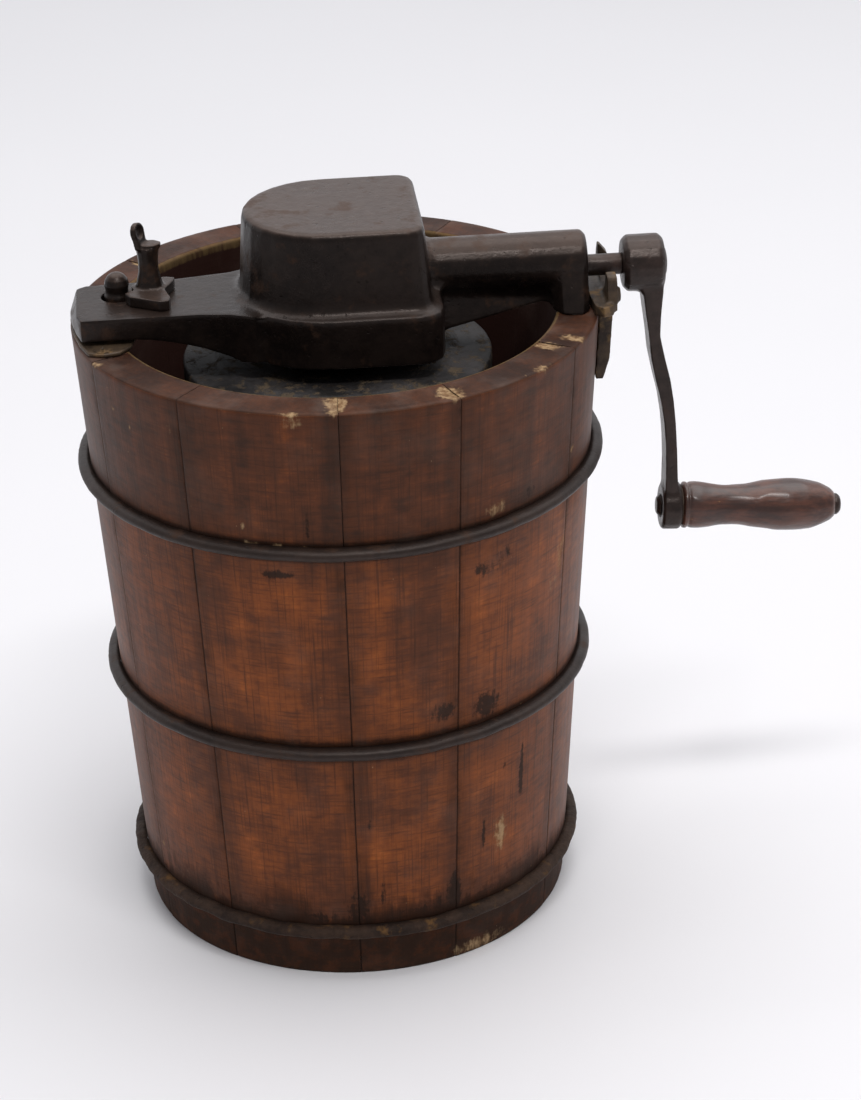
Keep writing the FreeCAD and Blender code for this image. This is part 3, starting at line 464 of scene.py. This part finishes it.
# Stained and varnished staves
staveLook = {
    "tones": [(0.0, shade(48, 26, 15)), (0.3, shade(86, 44, 21)), (0.6, shade(128, 66, 25)),
              (1.0, shade(182, 103, 40))],
    "black": shade(20, 13, 10), "umber": shade(46, 25, 15), "bare": shade(176, 148, 112),
    "bareDeep": shade(118, 88, 60), "moss": shade(112, 92, 58), "dust": shade(112, 96, 88),
    "inside": shade(36, 17, 14),
    "rimDeep": shade(34, 16, 9), "rimPale": shade(74, 41, 24), "base": shade(46, 31, 23),
    "sheen": (1.0, 0.72, 0.58, 1.0),
}


def staveMaterial():
    shader = Shader("staveWood", Coat_Roughness=0.34, Coat_IOR=1.4, Specular_IOR_Level=0.22,
                    Specular_Tint=staveLook["sheen"])
    place = shader.place("grainPlace")
    across, radius, height = shader.parts(place)
    edgeAway = shader.carried("edgeAway")
    bareSpot, darkSpot, glowSpot = shader.parts(shader.place("wornSpot"))
    seed = shader.node("ShaderNodeMath", {"operation": "FLOOR"}, {0: across / staveShift})
    fibre = shader.noise(shader.stretched(place, (1300.0, 300.0, 16.0)), 1.0, 4.0, 0.6)
    streak = shader.noise(shader.stretched(place, (190.0, 60.0, 7.0)), 1.0, 4.0)
    cloud = shader.noise(shader.stretched(place, (44.0, 44.0, 34.0)), 1.0, 5.0, 0.62)
    blotch = shader.noise(shader.stretched(place, (120.0, 120.0, 150.0)), 1.0, 6.0, 0.7)
    chatter = shader.noise(shader.stretched(place, (60.0, 10.0, 1100.0)), 1.0, 4.0)
    brushed = shader.noise(shader.stretched(place, (90.0, 30.0, 420.0)), 1.0, 3.0)
    crumb = shader.noise(shader.stretched(place, (520.0, 520.0, 420.0)), 1.0, 4.0, 0.6)
    ragged = shader.noise(shader.stretched(place, (330.0, 200.0, 60.0)), 1.0, 5.0, 0.65)
    staveTone = shader.noise(shader.stretched(shader.node("ShaderNodeCombineXYZ", None, {0: seed, 1: seed}),
                                              (3.7, 1.3, 1.0)), 1.0, 0.0)
    # Clear glow between the hoops, duller above the top one
    glow = cloud * 0.45 + blotch * 0.55 + streak * 0.4 + brushed * 0.4 + staveTone * 0.3 - 0.68
    glow = glow + (glowSpot - 0.5) * (0.2 + blotch * 0.4 + brushed * 0.3) - height.rises(0.200, 0.212) * 0.19
    colour = shader.node("ShaderNodeValToRGB", {"stops": staveLook["tones"]}, {0: glow})
    lines = (fibre.rises(0.48, 0.72) * 0.6).most(chatter.rises(0.5, 0.7) * 0.5)
    colour = shader.mix(lines, colour, staveLook["umber"])
    # Dark stain along the seams, beside the hoops and above the bottom hoop
    seam = (1.0 - (edgeAway - 0.0001).rises(0.0, 0.0005)) * (streak * 1.3 + blotch * 0.6 - 0.35)
    seam = seam * (1.0 - height.rises(0.212, 0.230) * 0.4)
    stain = (1.0 - edgeAway.rises(0.0, 0.0085)) * (cloud + blotch - 0.4).rises(0.4, 0.95) * 0.8
    for level, reach in ((hoopLevels["hoop_top"], 0.0064), (hoopLevels["hoop_middle"], 0.0080)):
        near = 1.0 - abs(height - level).rises(0.0026, reach)
        stain = stain.most((near * (0.5 + crumb)).rises(0.15, 0.9) * 0.85)
    reach = 0.0026 + cloud.rises(0.4, 0.66) * 0.016
    reach = reach + ragged.rises(0.3, 0.7) * blotch.rises(0.35, 0.6) * 0.014
    drips = 1.0 - ((height - hoopLevels["hoop_bottom"] - 0.0025) / reach).rises(0.0, 1.2)
    stain = stain.most(drips * 0.9)
    marks = (darkSpot * 1.1 + (crumb - 0.5) * 1.1 + (ragged - 0.5) * 1.5).rises(0.3, 0.75)
    stain = stain.most(marks * darkSpot.rises(0.06, 0.3) * 0.88)
    foot = 1.0 - height.rises(0.0185, 0.0215)
    footTone = shader.mix(blotch.rises(0.45, 0.62) * 0.6, staveLook["base"], staveLook["tones"][1][1])
    colour = shader.mix(foot * 0.92, colour, footTone)
    colour = shader.mix(stain * (1.0 - foot * 0.6), colour, staveLook["black"])
    # The rim, and the inside of the staves painted dark: darker wood, deepened as painted shade within the
    # tub
    upward = shader.parts(shader.node("ShaderNodeNewGeometry", None, None, "True Normal"))[2]
    rimFace = upward.rises(0.55, 0.9) * height.rises(0.25, 0.26)
    rimTone = (cloud * 0.6 + crumb * 0.2 + streak * 0.2).rises(0.38, 0.64)
    rimTone = shader.mix(rimTone, staveLook["rimDeep"], staveLook["rimPale"])
    rimTone = shader.mix((blotch * 0.5 + ragged * 0.5).rises(0.48, 0.66) * 0.7, rimTone, staveLook["umber"])
    colour = shader.mix(rimFace, colour, rimTone)
    colour = shader.mix(seam.most(0.0) * (1.0 - rimFace * 0.85), colour, staveLook["black"])
    boreRadius = height * tubSlope + (tub["baseRadius"] - tub["thick"])
    inner = 1.0 - (radius - boreRadius).rises(0.0013, 0.0025)
    # Painted shade: the inside of the tub is darkened beyond its wood's own tone
    colour = shader.mix(inner * (1.0 - rimFace), colour, staveLook["inside"])
    # Bare wood: chips and rubs; the worn outer edge of the rim is painted pale, partly as bare wood and
    # partly as a painted highlight along that edge
    worn = (bareSpot + (ragged - 0.5) * 1.3 + (crumb - 0.5) * 0.9).rises(0.25, 0.85)
    worn = worn * bareSpot.rises(0.05, 0.35) * 0.75
    # Painted highlight and wear: a pale line along the outer edge of the rim top
    rimEdgeWearAndHighlight = height.rises(0.2668, 0.2684) * (1.0 - inner) * upward.rises(0.1, 0.35) * (1.0 - rimFace)
    worn = worn.most((rimEdgeWearAndHighlight * (0.2 + ragged)).rises(0.45, 0.85) * 0.6)
    specks = 1.0 - shader.cells(shader.stretched(place, (230.0, 90.0, 150.0)), 1.0).rises(0.03, 0.08)
    worn = worn.most(specks * crumb.rises(0.54, 0.62) * 0.5)
    bareTone = (crumb * 0.5 + ragged * 0.5).rises(0.38, 0.62)
    colour = shader.mix(worn, colour, shader.mix(bareTone, staveLook["bareDeep"], staveLook["bare"]))
    rimInner = tub["topRadius"] - tub["thick"] + 0.0006
    innerEdge = (1.0 - abs(radius - rimInner).rises(0.0004, 0.0020)) * height.rises(0.263, 0.266)
    innerEdge = (innerEdge * (0.3 + ragged)).rises(0.45, 0.85)
    colour = shader.mix(innerEdge * 0.5, colour, staveLook["moss"])
    dust = shader.noise(shader.stretched(place, (60.0, 60.0, 60.0)), 1.0, 5.0).rises(0.45, 0.75)
    colour = shader.mix(dust * (0.08 + rimFace * 0.2), colour, staveLook["dust"])
    rough = 0.46 + fibre * 0.12 + crumb * 0.1 + stain * 0.1 + worn * 0.25 + inner * 0.2 + foot * 0.1
    coat = (0.2 - rimFace * 0.18 - stain * 0.15 - worn * 0.4 - inner * 0.5 - foot * 0.2).most(0.0)
    relief = fibre * 0.35 + chatter * 0.35 + blotch * 0.3 - stain * 0.2 - worn * 0.5 + crumb * (0.15 + worn)
    shader.bump(relief, 0.0004, 0.7)
    return shader.finish(Base_Color=colour, Roughness=rough, Coat_Weight=coat)


# Iron: dark, lightly pitted, with patches of brown rust
def ironMaterial(name, look):
    shader = Shader(name, Metallic=look["metal"], Specular_IOR_Level=look["sheen"],
                    Specular_Tint=(1.0, 0.86, 0.80, 1.0))
    place = shader.place()
    height = shader.parts(place)[2]
    cloud = shader.noise(place, 34.0, 5.0, 0.6)
    grit = shader.noise(place, 900.0, 3.0, 0.6)
    skin = shader.noise(place, 260.0, 4.0, 0.6)
    pits = shader.noise(shader.moved(place, (0.7, 0.2, 0.9)), 330.0, 2.0).rises(0.66, 0.76)
    patch = shader.noise(shader.moved(place, (3.1, 1.7, 0.4)), 85.0, 6.0, 0.66)
    upward = shader.parts(shader.node("ShaderNodeNewGeometry", None, None, "Normal"))[2]
    colour = shader.mix((cloud * 0.6 + skin * 0.4).rises(0.36, 0.64), look["dark"], look["light"])
    colour = shader.mix(grit.rises(0.52, 0.7) * 0.35, colour, look["light"])
    # The high faces that look up are painted lighter and browner, only above a set height: partly brown dust,
    # partly a painted sheen of the light on top faces
    dustAndTopSheen = upward.rises(0.35, 0.95) * height.rises(0.277, 0.294)
    dustAndTopSheen = dustAndTopSheen * (0.3 + cloud * 0.4 + grit * 0.5 + skin * 0.4)
    colour = shader.mix(dustAndTopSheen * look["dustAndSheenShare"], colour, look["dust"])
    rusty = (patch + dustAndTopSheen * 0.03).rises(look["rustFrom"], look["rustFrom"] + 0.14)
    colour = shader.mix(rusty * look["rustShare"], colour, look["rust"])
    colour = shader.mix(pits * 0.5, colour, look["dark"])
    rough = look["rough"] + cloud * 0.16 - skin * 0.14 + rusty * 0.2
    shader.bump(grit * 0.25 + skin * 0.6 + cloud * 0.6 - pits * 0.4, look["relief"], 0.8)
    return shader.finish(Base_Color=colour, Roughness=rough)


# In each look, dust is the tone painted on the high upward faces, as dust and as a painted sheen
ironLooks = {
    "castIron": {
        "dark": shade(15, 11, 10), "light": shade(31, 24, 21), "rust": shade(66, 45, 32),
        "metal": 0.0, "sheen": 0.22, "rough": 0.29, "rustFrom": 0.55, "rustShare": 0.45, "relief": 0.00035,
        "dust": shade(88, 72, 64), "dustAndSheenShare": 0.5},
    "crankIron": {
        "dark": shade(20, 15, 14), "light": shade(44, 34, 31), "rust": shade(62, 41, 33),
        "metal": 0.0, "sheen": 0.34, "rough": 0.30, "rustFrom": 0.58, "rustShare": 0.45, "relief": 0.00045,
        "dust": shade(84, 68, 60), "dustAndSheenShare": 0.25},
    "fittingIron": {
        "dark": shade(34, 28, 23), "light": shade(74, 60, 46), "rust": shade(130, 102, 68),
        "metal": 0.0, "sheen": 0.3, "rough": 0.46, "rustFrom": 0.52, "rustShare": 0.65, "relief": 0.00032,
        "dust": shade(92, 76, 58), "dustAndSheenShare": 0.6},
    "hoopIron": {
        "dark": shade(24, 17, 15), "light": shade(42, 31, 26), "rust": shade(66, 43, 29),
        "metal": 0.0, "sheen": 0.35, "rough": 0.46, "rustFrom": 0.55, "rustShare": 0.6, "relief": 0.00035,
        "dust": shade(66, 50, 42), "dustAndSheenShare": 0.0},
    "rustyHoop": {
        "dark": shade(28, 19, 15), "light": shade(56, 41, 32), "rust": shade(108, 78, 46),
        "metal": 0.0, "sheen": 0.25, "rough": 0.7, "rustFrom": 0.56, "rustShare": 0.7, "relief": 0.00120,
        "dust": shade(66, 50, 42), "dustAndSheenShare": 0.0},
    "gearIron": {
        "dark": shade(46, 42, 40), "light": shade(86, 80, 76), "rust": shade(70, 50, 38),
        "metal": 0.6, "sheen": 0.5, "rough": 0.40, "rustFrom": 0.62, "rustShare": 0.4, "relief": 0.00015,
        "dust": shade(66, 50, 42), "dustAndSheenShare": 0.0},
}


def tinnedMaterial():
    shader = Shader("tinnedSheet", Metallic=0.05, Specular_IOR_Level=0.25)
    place = shader.place()
    cloud = shader.noise(place, 42.0, 6.0, 0.65)
    fine = shader.noise(place, 300.0, 5.0, 0.65)
    crust = shader.noise(shader.moved(place, (1.0, 2.0, 3.0)), 130.0, 6.0, 0.7)
    colour = shader.mix(cloud.rises(0.35, 0.65), shade(28, 26, 26), shade(60, 57, 57))
    colour = shader.mix(fine.rises(0.45, 0.65) * 0.5, colour, shade(28, 24, 22))
    scale = (crust * 0.7 + fine * 0.3).rises(0.50, 0.60)
    colour = shader.mix(scale * 0.6, colour, shade(98, 82, 62))
    shader.bump(cloud * 0.5 + fine * 0.4 + scale * 0.6, 0.0005, 0.7)
    return shader.finish(Base_Color=colour, Roughness=0.5 + cloud * 0.15 + scale * 0.25)


def boardMaterial():
    shader = Shader("bareBoard")
    place = shader.place()
    fibre = shader.noise(shader.stretched(place, (500.0, 30.0, 500.0)), 1.0, 4.0)
    cloud = shader.noise(place, 24.0, 3.0)
    colour = shader.mix(fibre.rises(0.35, 0.7), shade(84, 56, 38), shade(132, 96, 66))
    colour = shader.mix(cloud.rises(0.5, 0.7) * 0.6, colour, shade(52, 38, 30))
    shader.bump(fibre, 0.0004, 0.6)
    return shader.finish(Base_Color=colour, Roughness=0.62 + fibre * 0.15)


# Turned grip
grip = {"tilt": 3.5, "start": 0.0049, "length": 0.0663, "bore": 0.0033, "sides": 120, "throw": 0.1127,
        "eyeOut": 0.140, "shaftUp": 0.0145, "uneven": 0.0009}


def gripMaterial():
    shader = Shader("gripWood", Coat_Roughness=0.22, Coat_IOR=1.5, Specular_IOR_Level=0.3)
    place = shader.place("gripPlace")
    along = shader.parts(place)[0]
    fibre = shader.noise(shader.stretched(place, (55.0, 900.0, 900.0)), 1.0, 4.0)
    cloud = shader.noise(shader.stretched(place, (60.0, 120.0, 120.0)), 1.0, 5.0, 0.6)
    lumps = shader.noise(shader.stretched(place, (170.0, 220.0, 220.0)), 1.0, 3.0)
    apart = shader.moved(shader.stretched(place, (130.0, 260.0, 260.0)), (2.0, 0.0, 1.0))
    rub = shader.noise(apart, 1.0, 5.0)
    colour = shader.mix(cloud.rises(0.35, 0.65), shade(52, 28, 20), shade(88, 50, 35))
    colour = shader.mix(fibre.rises(0.45, 0.7) * 0.55, colour, shade(44, 27, 22))
    rubbed = rub.rises(0.68, 0.76)
    colour = shader.mix(rubbed * 0.6, colour, shade(158, 118, 76))
    tipEnd = grip["start"] + grip["length"]
    tip = along.rises(tipEnd - 0.0017, tipEnd)
    colour = shader.mix(tip * 0.8, colour, shade(92, 66, 56))
    shader.bump(fibre * 0.25 + cloud * 0.6 + lumps * 0.8, 0.0009, 0.6)
    return shader.finish(Base_Color=colour, Roughness=0.42 + rubbed * 0.2, Coat_Weight=0.5 - rubbed * 0.4)


print("materials")
irons = {name: ironMaterial(name, look) for name, look in ironLooks.items()}
staveWood = staveMaterial()
tinnedSheet = tinnedMaterial()
bareBoard = boardMaterial()
gripWood = gripMaterial()

for number, start in enumerate(tub["seams"]):
    end = tub["seams"][(number + 1) % len(tub["seams"])]
    makeStave(number, start, end if end > start else end + 360.0, staveWood)
print("staves")

# Hoops of heavy wire, flat against the staves
hoop = {"stand": 0.0052, "halfHeight": 0.0028, "sides": 288, "roundness": 0.8, "turnStep": 15,
        "lean": 0.066}


def makeHoop(node, material, uneven):
    level = hoopLevels[node]
    inner = tubRadius(level)
    section = []
    for degrees in range(-90, 91, hoop["turnStep"]):
        angle = math.radians(degrees)
        out = hoop["stand"] * max(0.0, math.cos(angle)) ** hoop["roundness"]
        section.append((out, hoop["halfHeight"] * math.sin(angle)))
    points = []
    for side in range(hoop["sides"]):
        angle = 2 * math.pi * side / hoop["sides"]
        around = Vector((math.cos(angle) * 9, math.sin(angle) * 9, level * 40))
        wave = uneven * noise.noise(around)
        for out, rise in section:
            dent = uneven * abs(noise.noise(around * 6 + Vector((out * 900, rise * 900, 0))))
            radius = inner + out - (dent + abs(wave)) * (out / hoop["stand"]) + rise * hoop["lean"]
            points.append((tub["axisX"] + radius * math.cos(angle), radius * math.sin(angle),
                           level + rise + wave * 1.5))
    faces = ringFaces(hoop["sides"], len(section))
    settle(meshPiece(node + "_wire", points, faces, material), "tub", node)


makeHoop("hoop_top", irons["hoopIron"], 0.00025)
makeHoop("hoop_middle", irons["hoopIron"], 0.00025)
makeHoop("hoop_bottom", irons["rustyHoop"], 0.00050)
print("hoops")

# Castings and forgings: body, slot, finish, grid size, rounds of softening and fillet
castings = {
    "gear_frame": ("frame", "iron", "castIron", 0.0006, 14, 0.0022),
    "keeper": ("tub", "iron", "fittingIron", 0.0005, 3, 0.0),
    "ball_stud": ("tub", "iron", "castIron", 0.0004, 7, 0.0),
    "hinge_yoke": ("tub", "iron", "fittingIron", 0.0005, 4, 0.0008),
    "latch": ("latch", "iron", "castIron", 0.0004, 6, 0.0006),
    "crank": ("crank", "crank_iron", "crankIron", 0.0006, 10, 0.0016),
    "crank_shaft": ("crank", "crank_iron", "crankIron", 0.0004, 4, 0.0),
    "grip_pin": ("crank", "crank_iron", "crankIron", 0.0004, 6, 0.0),
}
for node, (body, slot, finish, grid, softness, fillet) in castings.items():
    castPiece(node, body, irons[finish], grid, softness, fillet)
    print("cast", node)

# The grip lies on the same tilted axis as its pin
gripTurn = Matrix.Rotation(math.radians(90 + grip["tilt"]), 3, "Y")
eyePlace = Vector((tub["axisX"] + grip["eyeOut"], axisY, tub["height"] + grip["shaftUp"] - grip["throw"]))
outline = [(0.0091, 0.0), (0.0100, 0.0007), (0.0101, 0.0018), (0.0097, 0.0026), (0.0102, 0.0042),
           (0.0102, 0.0075), (0.0093, 0.0130), (0.0086, 0.0195), (0.0091, 0.0270), (0.0103, 0.0340),
           (0.0112, 0.0420), (0.0114, 0.0480), (0.0108, 0.0545), (0.0092, 0.0605), (0.0074, 0.0645),
           (0.0057, grip["length"])]
outline = smoothProfile(outline, 5)
outline = [(radius, grip["start"] + along) for radius, along in outline]
outline += [(grip["bore"], grip["start"] + grip["length"]), (grip["bore"], grip["start"])]
gripPlaces = []
for side in range(grip["sides"]):
    angle = 2 * math.pi * side / grip["sides"]
    for radius, along in outline:
        gripPlaces.append((along, radius * math.cos(angle), radius * math.sin(angle)))
gripPiece = lathe("grip_wood", outline, grip["sides"], gripTurn, eyePlace, gripWood,
                  {"gripPlace": gripPlaces}, grip["uneven"])
settle(gripPiece, "grip", "grip")

# Can and lid of tinned sheet
can = {"radius": 0.062, "wall": 0.001, "foot": 0.034, "top": 0.249, "sides": 144,
       "lidRadius": 0.0643, "lidTop": tub["height"] - 0.017, "skirt": 0.019, "bossHole": 0.0086}
upright = Matrix.Identity(3)
inside = can["radius"] - can["wall"]
canProfile = [(0.0001, can["foot"] + 0.004), (inside - 0.001, can["foot"] + 0.004), (inside, can["foot"]),
              (can["radius"], can["foot"]), (can["radius"], can["top"] - 0.003),
              (can["radius"] + 0.0008, can["top"] - 0.0022), (can["radius"] + 0.0008, can["top"] - 0.0004),
              (can["radius"] + 0.0003, can["top"]), (inside, can["top"]), (inside, can["foot"] + 0.005),
              (0.0001, can["foot"] + 0.005)]
settle(lathe("can_sheet", canProfile, can["sides"], upright, ironAxis, tinnedSheet), "can", "can")
edge = can["lidRadius"]
lidTop = can["lidTop"]
lidProfile = [(can["bossHole"], lidTop - 0.0012), (edge - 0.0012, lidTop - 0.0012),
              (edge - 0.0012, lidTop - can["skirt"]), (edge, lidTop - can["skirt"]), (edge, lidTop - 0.0010),
              (edge - 0.0003, lidTop - 0.0003), (edge - 0.0010, lidTop), (0.0518, lidTop),
              (0.0506, lidTop + 0.0003), (0.0498, lidTop + 0.0011), (0.0488, lidTop + 0.0012),
              (can["bossHole"], lidTop + 0.0012)]
lidPiece = lathe("can_lid_sheet", lidProfile, can["sides"], upright, ironAxis, tinnedSheet)
settle(lidPiece, "can", "can_lid")
print("grip, can and lid")

# Nodes that keep the frame's own solids
kept = {
    "bareBoard": ["bottom_board_1", "bottom_board_2", "bottom_board_3", "scraper_1", "scraper_2"],
    "fittingIron": ["keeper_screws", "yoke_screws", "step_screws", "cover_screws", "gear_cover",
                    "step_bearing", "latch_washer", "grip_washer", "can_pivot", "can_floor_pin"],
    "gearIron": ["lower_gear", "upper_gear", "pinion"],
    "tinnedSheet": ["lid_boss", "dasher_shaft", "dasher_frame"],
}
finishes = {"bareBoard": bareBoard, "tinnedSheet": tinnedSheet, **irons}
for finish, members in kept.items():
    for member in members:
        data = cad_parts[member].data
        data.materials.clear()
        data.materials.append(finishes[finish])

# Floor, light and camera
floorHalf = 6
ground = bpy.data.meshes.new("ground")
corners = [(-floorHalf, -floorHalf, 0), (floorHalf, -floorHalf, 0),
           (floorHalf, floorHalf, 0), (-floorHalf, floorHalf, 0)]
ground.from_pydata(corners, [], [(0, 1, 2, 3)])
floor = bpy.data.objects.new("floor", ground)
bpy.context.scene.collection.objects.link(floor)


def floorMaterial():
    shader = Shader("paleFloor", Roughness=0.55)
    place = shader.place()
    tone = shader.mix(shader.noise(place, 3.0, 2.0), (0.79, 0.78, 0.80, 1.0), (0.82, 0.81, 0.83, 1.0))
    return shader.finish(Base_Color=tone)


ground.materials.append(floorMaterial())

# The room is white to the camera, and as bright in a sheen only where it lies behind the object
room = {"air": 0.42, "white": 0.97, "tint": (0.95, 0.96, 1.0, 1.0)}
# Lamps: place, aim, size, power and tint
lamps = {
    "key": ((1.2, 0.2, 1.6), (0, 0, 0.15), (1.3, 1.3), 6.0, (1.0, 0.99, 0.98)),
    "front": ((0.1, -0.85, 1.85), (0, 0, 0.25), (0.9, 0.16), 13.5, (1.0, 0.99, 0.98)),
    "top": ((0.0, 0.5, 2.2), (0, 0, 0.2), (2.4, 2.0), 31.5, (1.0, 1.0, 1.0)),
}


def studioWorld():
    shader = Shader("studio", bpy.data.worlds.new("studio"), "Background", Color=room["tint"])
    behind = shader.parts(shader.node("ShaderNodeTexCoord", output="Generated"))[1].rises(-0.2, 0.5)
    straight, glossy, through = [shader.node("ShaderNodeLightPath", output=ray) for ray in
                                 ("Is Camera Ray", "Is Glossy Ray", "Is Transmission Ray")]
    seen = straight.most(glossy.most(through) * behind)
    return shader.finish(Strength=room["air"] + seen * (room["white"] - room["air"]))


bpy.context.scene.world = studioWorld()


def softLamp(name, place, aim, size, power, tint):
    lamp = bpy.data.lights.new(name, "AREA")
    lamp.shape = "RECTANGLE"
    lamp.size, lamp.size_y = size
    lamp.energy = power
    lamp.color = tint
    holder = bpy.data.objects.new(name, lamp)
    bpy.context.scene.collection.objects.link(holder)
    holder.location = place
    holder.rotation_euler = (Vector(aim) - Vector(place)).to_track_quat("-Z", "Y").to_euler()


for lampName, setting in lamps.items():
    softLamp(lampName, *setting)

# The photograph's viewpoint: 26.4 degrees down, turned 4.5 degrees, with a slight roll
viewpoint = {"place": (-0.1178, -1.3107, 0.8060), "turn": -4.5, "down": 26.40, "roll": -1.683, "lens": 111.27}
camera = bpy.data.cameras.new("camera")
camera.lens = viewpoint["lens"]
camera.sensor_width = 36.0
camera.clip_start = 0.05
cameraHolder = bpy.data.objects.new("camera", camera)
bpy.context.scene.collection.objects.link(cameraHolder)
turned = (Matrix.Rotation(math.radians(viewpoint["turn"]), 4, "Z")
          @ Matrix.Rotation(math.radians(90 - viewpoint["down"]), 4, "X")
          @ Matrix.Rotation(math.radians(viewpoint["roll"]), 4, "Z"))
cameraHolder.matrix_world = Matrix.Translation(viewpoint["place"]) @ turned
bpy.context.scene.camera = cameraHolder
bpy.context.scene.view_settings.view_transform = "Standard"
print("floor, light and camera")
